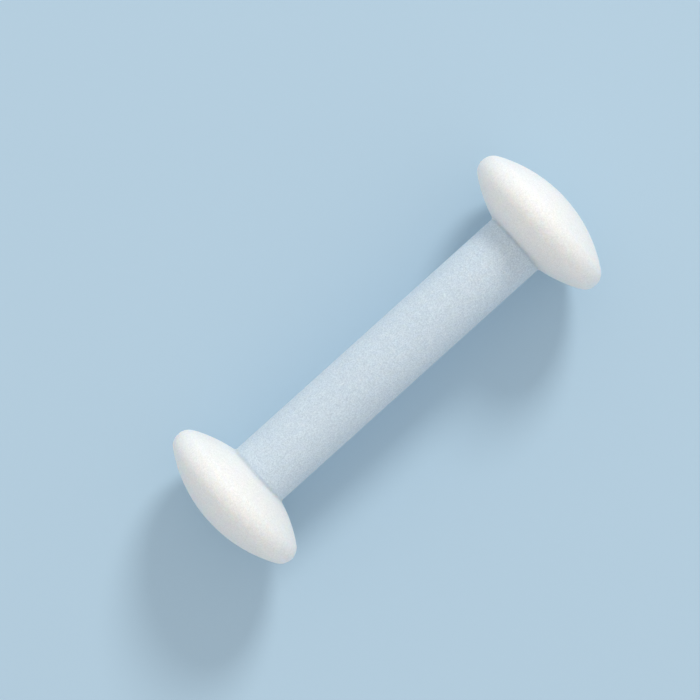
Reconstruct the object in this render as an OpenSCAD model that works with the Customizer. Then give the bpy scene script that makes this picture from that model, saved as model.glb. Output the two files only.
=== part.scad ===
// Magnetic stir bar of the dumb-bell form, in millimetres.
// A smooth round shaft carries a lens-shaped disc at each end, and a magnet rod is sealed inside.
// The bar lies along X with its middle at the origin, so it rests on the two disc rims.

/* [Bar] */
// Length of the bar over both end discs
bar_l = 54; // [32:1:80]

/* [End discs] */
// Diameter of each disc
disc_d = 19; // [15:0.5:26]
// Thickness of each disc on the bar's axis, from pole to pole
disc_t = 8; // [6:0.5:10]
// Radius of the rounded rim where the two domes of a disc meet
rim_r = 1.8; // [1:0.1:2.2]
// Radius of the fillet where the shaft runs into a disc
root_r = 0.4; // [0.2:0.1:0.8]

/* [Magnet] */
// Diameter of the magnet rod
magnet_d = 6; // [4:0.5:8]
// Chamfer round each end of the magnet rod
magnet_chamfer = 0.4; // [0.2:0.1:0.8]

/* [Jacket walls] */
// Jacket over the side of the magnet, which makes the shaft
side_wall = 0.85; // [0.5:0.05:1.2]
// Jacket over each end of the magnet, on the bar's axis
end_wall = 3; // [2:0.5:5]

/* [Hidden] */
$fn = 128;

disc_r = disc_d / 2;
disc_x = (bar_l - disc_t) / 2;
magnet_r = magnet_d / 2;
magnet_l = bar_l - 2 * end_wall;
shaft_r = magnet_r + side_wall;

// Outlines that blend smoothly overlap by this much, so that they cross at one clean point.
blend_overlap = 0.001;

// Each dome is part of a sphere whose centre lies on the bar's axis. The sphere runs through
// the disc's pole and is tangent to the rim's circle, which fixes its radius.
dome_h = disc_t / 2;
rim_centre_r = disc_r - rim_r;
rim_blend_r = rim_r - blend_overlap;
dome_r = (dome_h ^ 2 + rim_centre_r ^ 2 - rim_blend_r ^ 2) / (2 * (dome_h - rim_blend_r));
dome_offset = dome_r - dome_h;
rim_tangent_r = rim_centre_r * dome_r / (dome_r - rim_blend_r);

// The root fillet's circle touches the shaft on one side and the inner dome on the other.
root_blend_r = root_r - blend_overlap;
root_centre_r = shaft_r + root_blend_r;
root_reach = dome_r + root_blend_r;
root_centre = [root_centre_r, dome_offset - sqrt(root_reach ^ 2 - root_centre_r ^ 2)];
root_inner = root_centre + 2 * root_r / root_reach * ([0, dome_offset] - root_centre);

// Profiles lie in the plane of a revolve: x is the distance from the bar's axis, y runs along it.
// A disc's profile has its mid-plane at y = 0, with the shaft on the side of negative y.
module disc_profile() {
    intersection() {
        translate([0, -dome_offset])
            circle(r = dome_r);
        translate([0, dome_offset])
            circle(r = dome_r);
        translate([0, -dome_h])
            square([rim_tangent_r, disc_t]);
    }
    translate([rim_centre_r, 0])
        circle(r = rim_r);
}

module root_profile() {
    difference() {
        polygon([
            [shaft_r - root_r, root_centre.y],
            root_centre,
            root_inner,
            [shaft_r - root_r, root_inner.y]
        ]);
        translate(root_centre)
            circle(r = root_r);
    }
}

module jacket_profile() {
    translate([0, -disc_x])
        square([shaft_r, 2 * disc_x]);
    for (end = [0, 1]) {
        mirror([0, end, 0])
            translate([0, disc_x]) {
                disc_profile();
                root_profile();
            }
    }
}

module magnet_profile() {
    magnet_end = magnet_l / 2;
    polygon([
        [0, -magnet_end],
        [magnet_r - magnet_chamfer, -magnet_end],
        [magnet_r, magnet_chamfer - magnet_end],
        [magnet_r, magnet_end - magnet_chamfer],
        [magnet_r - magnet_chamfer, magnet_end],
        [0, magnet_end]
    ]);
}

// Turns a profile about the bar's axis.
module revolve_about_bar() {
    rotate([0, 90, 0])
        rotate_extrude()
            children();
}

// One moulding: shaft and both discs, closed all round the magnet
module ptfe_jacket() {
    color("whitesmoke")
        difference() {
            revolve_about_bar()
                jacket_profile();
            revolve_about_bar()
                magnet_profile();
        }
}

// Rod that fills the jacket's cavity
module magnet() {
    color("dimgray")
        revolve_about_bar()
            magnet_profile();
}

ptfe_jacket();
magnet();
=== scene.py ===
import math
import bpy
import numpy as np
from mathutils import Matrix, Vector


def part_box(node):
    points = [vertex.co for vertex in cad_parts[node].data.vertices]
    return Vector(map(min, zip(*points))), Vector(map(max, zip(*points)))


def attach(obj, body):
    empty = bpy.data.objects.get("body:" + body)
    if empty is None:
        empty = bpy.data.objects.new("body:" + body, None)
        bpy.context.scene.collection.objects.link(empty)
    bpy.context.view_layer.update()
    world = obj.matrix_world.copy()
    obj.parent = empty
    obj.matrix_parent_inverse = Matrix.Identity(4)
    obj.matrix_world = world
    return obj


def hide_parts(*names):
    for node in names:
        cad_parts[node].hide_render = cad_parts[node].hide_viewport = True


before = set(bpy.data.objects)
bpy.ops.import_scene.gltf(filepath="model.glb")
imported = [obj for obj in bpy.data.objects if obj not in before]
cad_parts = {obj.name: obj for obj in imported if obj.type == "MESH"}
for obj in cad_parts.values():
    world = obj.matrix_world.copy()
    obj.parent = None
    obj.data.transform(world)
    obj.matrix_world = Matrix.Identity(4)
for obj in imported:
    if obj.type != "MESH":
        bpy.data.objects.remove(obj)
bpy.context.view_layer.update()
print("frame loaded:", ", ".join(sorted(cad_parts)))

# Everything is in metres. The bar lies along X with its middle at the origin and rests on its two rims.
jacketLow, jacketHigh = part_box("ptfe_jacket")
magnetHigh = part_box("magnet")[1]
halfLength = jacketHigh.x
discRadius = jacketHigh.z
floorHeight = jacketLow.z
magnetHalfLength = magnetHigh.x
magnetRadius = magnetHigh.z
millimetres = 1000.0  # in one metre, for the shader patterns, which count in millimetres


jacket = {
    "discThickness": 0.008,  # pole to pole, on the bar's axis
    "rimRadius": 0.0018,  # round edge where the two domes of a disc meet
    "shaftRadius": 0.00385,
    "rootRadius": 0.0004,  # fillet between the shaft and a disc
    "rings": {"shaft": 84, "root": 10, "inner": 44, "rim": 40, "outer": 60},
    "segments": 192,
    "swell": 0.000012,  # height of the slow unevenness that moulding leaves
    # each wave of it: times round the bar, radians per metre along it, phase, share of the height
    "waves": [(2, 61.0, 0.4, 0.5), (3, 148.0, 1.9, 0.3), (5, 263.0, 4.1, 0.2)],
    "pocketChamfer": 0.0004,  # at both ends of the pocket that holds the magnet
    "pocketSegments": 72,
}


def halfOutline(shape):
    # Outline (along, radius) from mid-shaft to the pole of the +X disc. Both domes are circles centred
    # on the bar's axis that run through the disc's poles and are tangent to the rim's circle. The root
    # is a circle that touches the shaft from outside and the inner dome from outside. Returned with it
    # is the place on X where the shaft's straight side ends and the root starts.
    halfDisc = shape["discThickness"] / 2
    rim, root, rings = shape["rimRadius"], shape["rootRadius"], shape["rings"]
    discAt = halfLength - halfDisc
    rimCentre = discRadius - rim
    dome = (halfDisc**2 + rimCentre**2 - rim**2) / (2 * (halfDisc - rim))
    offset = dome - halfDisc
    rimLean = math.atan2(rimCentre, offset)
    rootRise = shape["shaftRadius"] + root
    rootBack = math.sqrt((dome + root) ** 2 - rootRise**2)
    rootAt = discAt + offset - rootBack
    rootLean = math.atan2(rootRise, rootBack)

    turnRoot = np.linspace(-math.pi / 2, -rootLean, rings["root"])
    turnInner = np.linspace(rootLean, rimLean, rings["inner"])
    turnRim = np.linspace(math.pi - rimLean, rimLean, rings["rim"])
    turnOuter = np.linspace(rimLean, 0, rings["outer"])
    shaftAlong = np.linspace(0, rootAt, rings["shaft"])
    stretches = [
        (shaftAlong, np.full_like(shaftAlong, shape["shaftRadius"])),
        (rootAt + root * np.cos(turnRoot), rootRise + root * np.sin(turnRoot)),
        (discAt + offset - dome * np.cos(turnInner), dome * np.sin(turnInner)),
        (discAt + rim * np.cos(turnRim), rimCentre + rim * np.sin(turnRim)),
        (discAt - offset + dome * np.cos(turnOuter), dome * np.sin(turnOuter)),
    ]
    # a stretch starts where the one before it ends, so its first point is dropped
    along = np.concatenate([stretches[0][0]] + [a[1:] for a, r in stretches[1:]])
    radius = np.concatenate([stretches[0][1]] + [r[1:] for a, r in stretches[1:]])
    return along, radius, rootAt


def swellHeight(along, radius, turn, height):
    # Slow unevenness over the skin: a sum of waves, each a cosine round the bar times a cosine along it,
    # fading to nothing at the poles.
    total = sum(w * np.cos(n * turn + p) * np.cos(k * along + 2 * p) for n, k, p, w in jacket["waves"])
    return height * total * np.minimum(1, radius / jacket["shaftRadius"]) ** 2


def revolve(along, radius, segments, height):
    # Point (i, j) lies at along[i] on X and at radius[i] from it, turned by j steps round the bar, and
    # is moved out along the outline's normal by swellHeight. The first and last points are the poles.
    # Each face turns its front away from the axis.
    stepAlong, stepRadius = np.gradient(along), np.gradient(radius)
    stepSize = np.hypot(stepAlong, stepRadius)
    turn = np.linspace(0, 2 * math.pi, segments, endpoint=False)
    a, t = np.meshgrid(along[1:-1], turn, indexing="ij")
    r = np.broadcast_to(radius[1:-1, None], a.shape)
    lift = swellHeight(a, r, t, height)
    x = a - lift * (stepRadius / stepSize)[1:-1, None]
    r = r + lift * (stepAlong / stepSize)[1:-1, None]
    ringPoints = np.stack([x, r * np.cos(t), r * np.sin(t)], axis=-1).reshape(-1, 3)
    points = np.concatenate([ringPoints, [[along[0], 0, 0], [along[-1], 0, 0]]])

    ringCount = len(along) - 2
    here = np.arange(ringCount * segments).reshape(ringCount, segments)
    beside = np.roll(here, -1, axis=1)
    quads = np.stack([here[:-1], beside[:-1], beside[1:], here[1:]], axis=-1).reshape(-1, 4)
    firstPole = np.full(segments, ringCount * segments)
    startFan = np.stack([beside[0], here[0], firstPole], axis=-1)
    endFan = np.stack([here[-1], beside[-1], firstPole + 1], axis=-1)
    return points, quads, np.concatenate([startFan, endFan])


def pocketOutline(shape):
    # Outline (along, radius) of the pocket that the magnet fills: a cylinder with chamfered ends.
    chamfer = shape["pocketChamfer"]
    along = np.array([magnetHalfLength, magnetHalfLength, magnetHalfLength - chamfer])
    radius = np.array([0, magnetRadius - chamfer, magnetRadius])
    return np.concatenate([-along, along[::-1]]), np.concatenate([radius, radius[::-1]])


def makeJacket(name, shape):
    # The moulding is its outer skin and, turned inside out, the wall of the closed pocket inside it.
    halfAlong, halfRadius, sleeveEnd = halfOutline(shape)
    along = np.concatenate([-halfAlong[:0:-1], halfAlong])
    radius = np.concatenate([halfRadius[:0:-1], halfRadius])
    points, quads, fans = revolve(along, radius, shape["segments"], shape["swell"])
    inPoints, inQuads, inFans = revolve(*pocketOutline(shape), shape["pocketSegments"], 0)
    inQuads, inFans = inQuads[:, ::-1] + len(points), inFans[:, ::-1] + len(points)
    faces = quads.tolist() + fans.tolist() + inQuads.tolist() + inFans.tolist()
    mesh = bpy.data.meshes.new(name)
    mesh.from_pydata(np.concatenate([points, inPoints]).tolist(), [], faces)

    # the first material is for the discs, the second for the sleeve between them and the pocket
    onSleeve = np.repeat(np.abs(along[1:-2] + along[2:-1]) / 2 < sleeveEnd, shape["segments"])
    inCount = len(inQuads) + len(inFans)
    slots = np.concatenate([onSleeve, np.zeros(len(fans)), np.ones(inCount)])
    smooth = np.concatenate([np.ones(len(quads) + len(fans)), np.zeros(inCount)])
    mesh.polygons.foreach_set("material_index", slots.astype(np.int32))
    mesh.polygons.foreach_set("use_smooth", smooth.astype(bool))
    skin = bpy.data.objects.new(name, mesh)
    bpy.context.scene.collection.objects.link(skin)
    return skin


jacketSkin = makeJacket("jacket_skin", jacket)
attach(jacketSkin, "root")
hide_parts("ptfe_jacket")
print("jacket skin:", len(jacketSkin.data.polygons), "faces")


def feed(tree, socket, value):
    # A socket takes a link from another node's output, or a plain value.
    if isinstance(value, bpy.types.NodeSocket):
        tree.links.new(value, socket)
    elif isinstance(value, tuple) and len(value) == 3 and len(socket.default_value) == 4:
        socket.default_value = (*value, 1)
    else:
        socket.default_value = value


def addNode(tree, kind, inputs=None, **settings):
    node = tree.nodes.new(kind)
    for key, value in settings.items():
        setattr(node, key, value)
    for key, value in (inputs or {}).items():
        feed(tree, node.inputs[key], value)
    return node


def calc(tree, operation, *values, clamp=False):
    node = addNode(tree, "ShaderNodeMath", dict(enumerate(values)), operation=operation, use_clamp=clamp)
    return node.outputs[0]


def hypotenuse(tree, first, second):
    squares = calc(tree, "MULTIPLY", first, first), calc(tree, "MULTIPLY", second, second)
    return calc(tree, "SQRT", calc(tree, "ADD", *squares))


def between(tree, mask, ends):
    # The first of two ends where the mask is 0, and the second where it is 1.
    return calc(tree, "ADD", calc(tree, "MULTIPLY", mask, ends[1] - ends[0]), ends[0])


def mixColor(tree, factor, first, second):
    # A Mix node set to colours takes its two colours at sockets 6 and 7, and gives the result at 2.
    node = addNode(tree, "ShaderNodeMix", data_type="RGBA")
    feed(tree, node.inputs[0], factor)
    feed(tree, node.inputs[6], first)
    feed(tree, node.inputs[7], second)
    return node.outputs[2]


def newGroup(name, inputs, outputs):
    tree = bpy.data.node_groups.new(name, "ShaderNodeTree")
    for label, value in inputs.items():
        socket = tree.interface.new_socket(label, in_out="INPUT", socket_type="NodeSocketFloat")
        socket.default_value = value
    for label in outputs:
        tree.interface.new_socket(label, in_out="OUTPUT", socket_type="NodeSocketFloat")
    given = tree.nodes.new("NodeGroupInput").outputs
    result = tree.nodes.new("NodeGroupOutput").inputs
    place = addNode(tree, "ShaderNodeTexCoord").outputs["Object"]
    return tree, given, result, place


def useGroup(tree, name, **values):
    node = addNode(tree, "ShaderNodeGroup", node_tree=bpy.data.node_groups[name])
    for label, value in values.items():
        feed(tree, node.inputs[label], value)
    return node.outputs


def buildCoreShadow():
    # How strongly the dark magnet shows through the wall over it: 1 where that wall is thinnest, and
    # falling off exponentially with every further millimetre of wall.
    tree, given, result, place = newGroup(
        "coreShadow", {"Radius": 3.0, "HalfLength": 24.0, "ThinWall": 0.85, "Fade": 0.5}, ["Mask"]
    )
    scaled = addNode(tree, "ShaderNodeVectorMath", {0: place, "Scale": millimetres}, operation="SCALE")
    x, y, z = addNode(tree, "ShaderNodeSeparateXYZ", {0: scaled.outputs[0]}).outputs
    across = hypotenuse(tree, y, z)
    side = calc(tree, "MAXIMUM", calc(tree, "SUBTRACT", across, given["Radius"]), 0.0)
    end = calc(tree, "MAXIMUM", calc(tree, "SUBTRACT", calc(tree, "ABSOLUTE", x), given["HalfLength"]), 0.0)
    wall = hypotenuse(tree, side, end)
    spare = calc(tree, "MAXIMUM", calc(tree, "SUBTRACT", wall, given["ThinWall"]), 0.0)
    mask = calc(tree, "EXPONENT", calc(tree, "DIVIDE", calc(tree, "MULTIPLY", spare, -1.0), given["Fade"]))
    tree.links.new(mask, result["Mask"])


def buildGrain():
    # Fine grain of a sintered or cast piece: small rounded cells of Size millimetres, each with its own
    # shade, under a noise of the same size. Depth is how far the cells' shades spread. Shade is centred
    # on a half, and Height is the same grains as a relief.
    cellShare = 0.4  # of the relief, and the noise makes the rest
    noiseGain = 2.0  # because the noise keeps to the middle of its range
    tree, given, result, place = newGroup("grain", {"Size": 0.3, "Depth": 0.5}, ["Shade", "Height"])
    perMetre = calc(tree, "DIVIDE", millimetres, given["Size"])
    cells = addNode(tree, "ShaderNodeTexVoronoi", {"Vector": place, "Scale": perMetre}, feature="SMOOTH_F1")
    softNoise = addNode(tree, "ShaderNodeTexNoise", {"Vector": place, "Scale": perMetre, "Detail": 2.0})
    domes = calc(tree, "MULTIPLY", calc(tree, "SUBTRACT", 1.0, cells.outputs["Distance"]), cellShare)
    ripples = calc(tree, "MULTIPLY", softNoise.outputs["Fac"], 1 - cellShare)
    tree.links.new(calc(tree, "ADD", domes, ripples), result["Height"])
    tone = addNode(tree, "ShaderNodeSeparateColor", {0: cells.outputs["Color"]}).outputs[0]
    spread = calc(tree, "MULTIPLY", calc(tree, "SUBTRACT", softNoise.outputs["Fac"], 0.5), noiseGain)
    cellSpread = calc(tree, "MULTIPLY", calc(tree, "SUBTRACT", tone, 0.5), given["Depth"])
    shade = calc(tree, "ADD", calc(tree, "ADD", spread, cellSpread), 0.5, clamp=True)
    tree.links.new(shade, result["Shade"])


def buildMottle():
    # Soft clouding: noise in patches of Size millimetres, pushed towards its ends by Contrast.
    tree, given, result, place = newGroup("mottle", {"Size": 4.0, "Contrast": 1.5}, ["Mask"])
    perMetre = calc(tree, "DIVIDE", millimetres, given["Size"])
    clouds = addNode(tree, "ShaderNodeTexNoise", {"Vector": place, "Scale": perMetre, "Detail": 4.0})
    centred = calc(tree, "MULTIPLY", calc(tree, "SUBTRACT", clouds.outputs["Fac"], 0.5), given["Contrast"])
    tree.links.new(calc(tree, "ADD", centred, 0.5, clamp=True), result["Mask"])


buildCoreShadow()
buildGrain()
buildMottle()
print("shader groups built")


ptfe = {
    "thickColor": (0.977, 0.963, 0.951),  # solid PTFE of the discs
    "thinColor": (0.757, 0.859, 0.941),  # the thin wall, darkened and cooled by the magnet behind it
    "wallFade": 0.08,  # further wall, in millimetres, at which the magnet shows a third as much
    "lightGrain": (1.0, 0.995, 0.982),  # grains tint the colour from darkGrain to this
    "grainSize": 0.14,  # in millimetres, as cloudSize is
    "grainDepth": 0.5,
    "grainHeight": 0.000012,
    "cloudSize": 5.0,
    "cloudContrast": 1.6,
    "cloudTone": (0.985, 1.01),  # shade of the darkest and the lightest clouding
    "roughness": (0.50, 0.64),
    "ior": 1.36,
    "glowColor": (1.0, 0.78, 0.6),  # red light travels furthest inside
    "disc": {"darkGrain": (0.845, 0.84, 0.83), "glow": 1.0, "reach": 0.004},
    "sleeve": {"darkGrain": (0.72, 0.745, 0.765), "glow": 0.5, "reach": 0.00025},
}


def makePtfe(stretch):
    # stretch is "disc" or "sleeve". Light spreads far inside the solid discs, and hardly at all in the
    # thin sleeve over the magnet.
    material = bpy.data.materials.new("ptfe_" + stretch)
    material.use_nodes = True
    tree = material.node_tree
    shader = tree.nodes["Principled BSDF"]
    core = useGroup(
        tree,
        "coreShadow",
        Radius=magnetRadius * millimetres,
        HalfLength=magnetHalfLength * millimetres,
        ThinWall=(jacket["shaftRadius"] - magnetRadius) * millimetres,
        Fade=ptfe["wallFade"],
    )
    grain = useGroup(tree, "grain", Size=ptfe["grainSize"], Depth=ptfe["grainDepth"])
    clouds = useGroup(tree, "mottle", Size=ptfe["cloudSize"], Contrast=ptfe["cloudContrast"])
    body = mixColor(tree, core["Mask"], ptfe["thickColor"], ptfe["thinColor"])
    tint = mixColor(tree, grain["Shade"], ptfe[stretch]["darkGrain"], ptfe["lightGrain"])
    cloudShade = between(tree, clouds["Mask"], ptfe["cloudTone"])
    grained = addNode(tree, "ShaderNodeVectorMath", {0: body, 1: tint}, operation="MULTIPLY").outputs[0]
    clouded = addNode(tree, "ShaderNodeVectorMath", {0: grained, 1: cloudShade}, operation="MULTIPLY")
    feed(tree, shader.inputs["Base Color"], clouded.outputs[0])
    feed(tree, shader.inputs["Roughness"], between(tree, clouds["Mask"], ptfe["roughness"]))
    bump = addNode(tree, "ShaderNodeBump", {"Height": grain["Height"], "Distance": ptfe["grainHeight"]})
    feed(tree, shader.inputs["Normal"], bump.outputs["Normal"])
    shader.inputs["IOR"].default_value = ptfe["ior"]
    shader.inputs["Subsurface Weight"].default_value = ptfe[stretch]["glow"]
    shader.inputs["Subsurface Radius"].default_value = ptfe["glowColor"]
    shader.inputs["Subsurface Scale"].default_value = ptfe[stretch]["reach"]
    return material


for stretch in ("disc", "sleeve"):
    jacketSkin.data.materials.append(makePtfe(stretch))


alloy = {
    "darkColor": (0.10, 0.10, 0.105),
    "lightColor": (0.21, 0.205, 0.20),
    "grainSize": 0.35,  # in millimetres, as cloudSize is
    "grainDepth": 0.8,
    "grainHeight": 0.00002,
    "cloudSize": 2.4,
    "cloudContrast": 2.4,
    "roughness": (0.36, 0.62),
}


def makeAlloy():
    material = bpy.data.materials.new("magnet_alloy")
    material.use_nodes = True
    tree = material.node_tree
    shader = tree.nodes["Principled BSDF"]
    grain = useGroup(tree, "grain", Size=alloy["grainSize"], Depth=alloy["grainDepth"])
    clouds = useGroup(tree, "mottle", Size=alloy["cloudSize"], Contrast=alloy["cloudContrast"])
    body = mixColor(tree, clouds["Mask"], alloy["darkColor"], alloy["lightColor"])
    feed(tree, shader.inputs["Base Color"], body)
    feed(tree, shader.inputs["Roughness"], between(tree, grain["Shade"], alloy["roughness"]))
    bump = addNode(tree, "ShaderNodeBump", {"Height": grain["Height"], "Distance": alloy["grainHeight"]})
    feed(tree, shader.inputs["Normal"], bump.outputs["Normal"])
    shader.inputs["Metallic"].default_value = 1.0
    return material


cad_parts["magnet"].material_slots[0].material = makeAlloy()
print("materials made")


studio = {
    "floorColor": (0.48, 0.65, 0.78),
    "floorRoughness": 0.85,
    "floorHalf": 3.0,  # half the side of the floor
    "fillColor": (0.985, 0.99, 1.0),
    "fill": 0.685,  # strength of the light from all round
    "backdropColor": (0.325, 0.44, 0.52),  # the floor's colour as the fill alone lights it
    "keyColor": (1.0, 0.975, 0.94),
    "keyTurn": 26.0,  # degrees from +X towards +Y
    "keyRise": 40.0,  # degrees above the floor
    "keyAway": 1.6,  # from the bar
    "keySize": 0.42,  # across the lamp
    "keyWatts": 10.8,
    "cameraOver": (-0.00236, 0.00358),  # place in X and Y
    "cameraHeight": 0.400,  # above the bar's axis
    "cameraTurn": -42.0,  # degrees about Z
    "cameraLens": 183.1,  # in millimetres, as cameraSensor is
    "cameraSensor": 36.0,
    "cameraNear": 0.01,  # nothing closer to the camera is drawn
}


def makeFloor():
    half = studio["floorHalf"]
    corners = [(-half, -half), (half, -half), (half, half), (-half, half)]
    mesh = bpy.data.meshes.new("floor")
    mesh.from_pydata([(x, y, floorHeight) for x, y in corners], [], [(0, 1, 2, 3)])
    floor = bpy.data.objects.new("floor", mesh)
    bpy.context.scene.collection.objects.link(floor)
    material = bpy.data.materials.new("pale_floor")
    material.use_nodes = True
    shader = material.node_tree.nodes["Principled BSDF"]
    shader.inputs["Base Color"].default_value = (*studio["floorColor"], 1)
    shader.inputs["Roughness"].default_value = studio["floorRoughness"]
    mesh.materials.append(material)


def makeWorld():
    # The world fills the shadows, and shows the camera and mirrors a backdrop as pale as the floor.
    world = bpy.data.worlds.new("studio_world")
    world.use_nodes = True
    tree = world.node_tree
    fill = tree.nodes["Background"]
    feed(tree, fill.inputs["Color"], studio["fillColor"])
    fill.inputs["Strength"].default_value = studio["fill"]
    backdrop = addNode(tree, "ShaderNodeBackground", {"Color": studio["backdropColor"]})
    path = addNode(tree, "ShaderNodeLightPath").outputs
    seen = calc(tree, "MAXIMUM", path["Is Camera Ray"], path["Is Glossy Ray"])
    seen = calc(tree, "MAXIMUM", seen, path["Is Transmission Ray"])
    both = addNode(tree, "ShaderNodeMixShader", {0: seen, 1: fill.outputs[0], 2: backdrop.outputs[0]})
    tree.links.new(both.outputs[0], tree.nodes["World Output"].inputs["Surface"])
    bpy.context.scene.world = world


def makeKeyLamp():
    rise, turn = math.radians(studio["keyRise"]), math.radians(studio["keyTurn"])
    toward = np.array([math.cos(rise) * math.cos(turn), math.cos(rise) * math.sin(turn), math.sin(rise)])
    data = bpy.data.lights.new("key", "AREA")
    data.shape = "DISK"
    data.size = studio["keySize"]
    data.energy = studio["keyWatts"]
    data.color = studio["keyColor"]
    lamp = bpy.data.objects.new("key", data)
    lamp.location = toward * studio["keyAway"]
    # a lamp shines along its own -Z, so its Z points away from the bar
    lamp.rotation_euler = lamp.location.to_track_quat("Z", "Y").to_euler()
    bpy.context.scene.collection.objects.link(lamp)


def makeCamera():
    data = bpy.data.cameras.new("camera")
    data.lens = studio["cameraLens"]
    data.sensor_width = studio["cameraSensor"]
    data.clip_start = studio["cameraNear"]
    camera = bpy.data.objects.new("camera", data)
    camera.location = (*studio["cameraOver"], studio["cameraHeight"])
    camera.rotation_euler = (0, 0, math.radians(studio["cameraTurn"]))
    bpy.context.scene.collection.objects.link(camera)
    bpy.context.scene.camera = camera


makeFloor()
makeWorld()
makeKeyLamp()
makeCamera()
bpy.context.scene.view_settings.view_transform = "Standard"
print("studio set")
